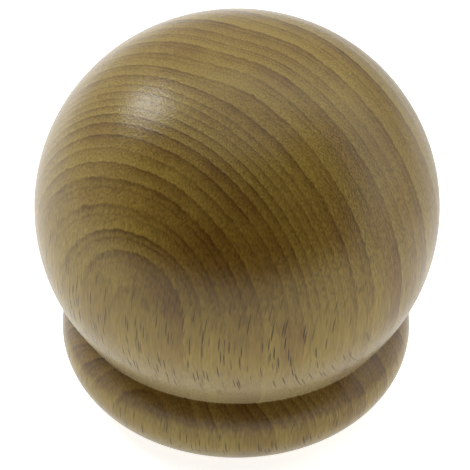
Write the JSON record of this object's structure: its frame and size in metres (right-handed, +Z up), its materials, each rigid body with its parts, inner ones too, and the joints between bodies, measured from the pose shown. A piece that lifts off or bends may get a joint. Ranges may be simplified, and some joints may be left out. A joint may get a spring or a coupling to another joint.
{
  "type": "wooden ball finial",
  "caption": "Turned wooden ball with a thick round bead for its foot, a sharp crease between them and a blind dowel hole, used as a finial, a post cap or a drawer pull.",
  "frame": {"origin": "centre of the flat base, on the turning axis", "axes": "+Z up the turning axis from the base to the crown; X and Y lie in the base, and +X is to the right in the picture"},
  "size_m": [0.06, 0.06, 0.0581],
  "materials": {
    "beech": "clear satin lacquer over turned beech"
  },
  "bodies": {
    "root": {"turned_ball": "beech"}
  },
  "joints": []
}
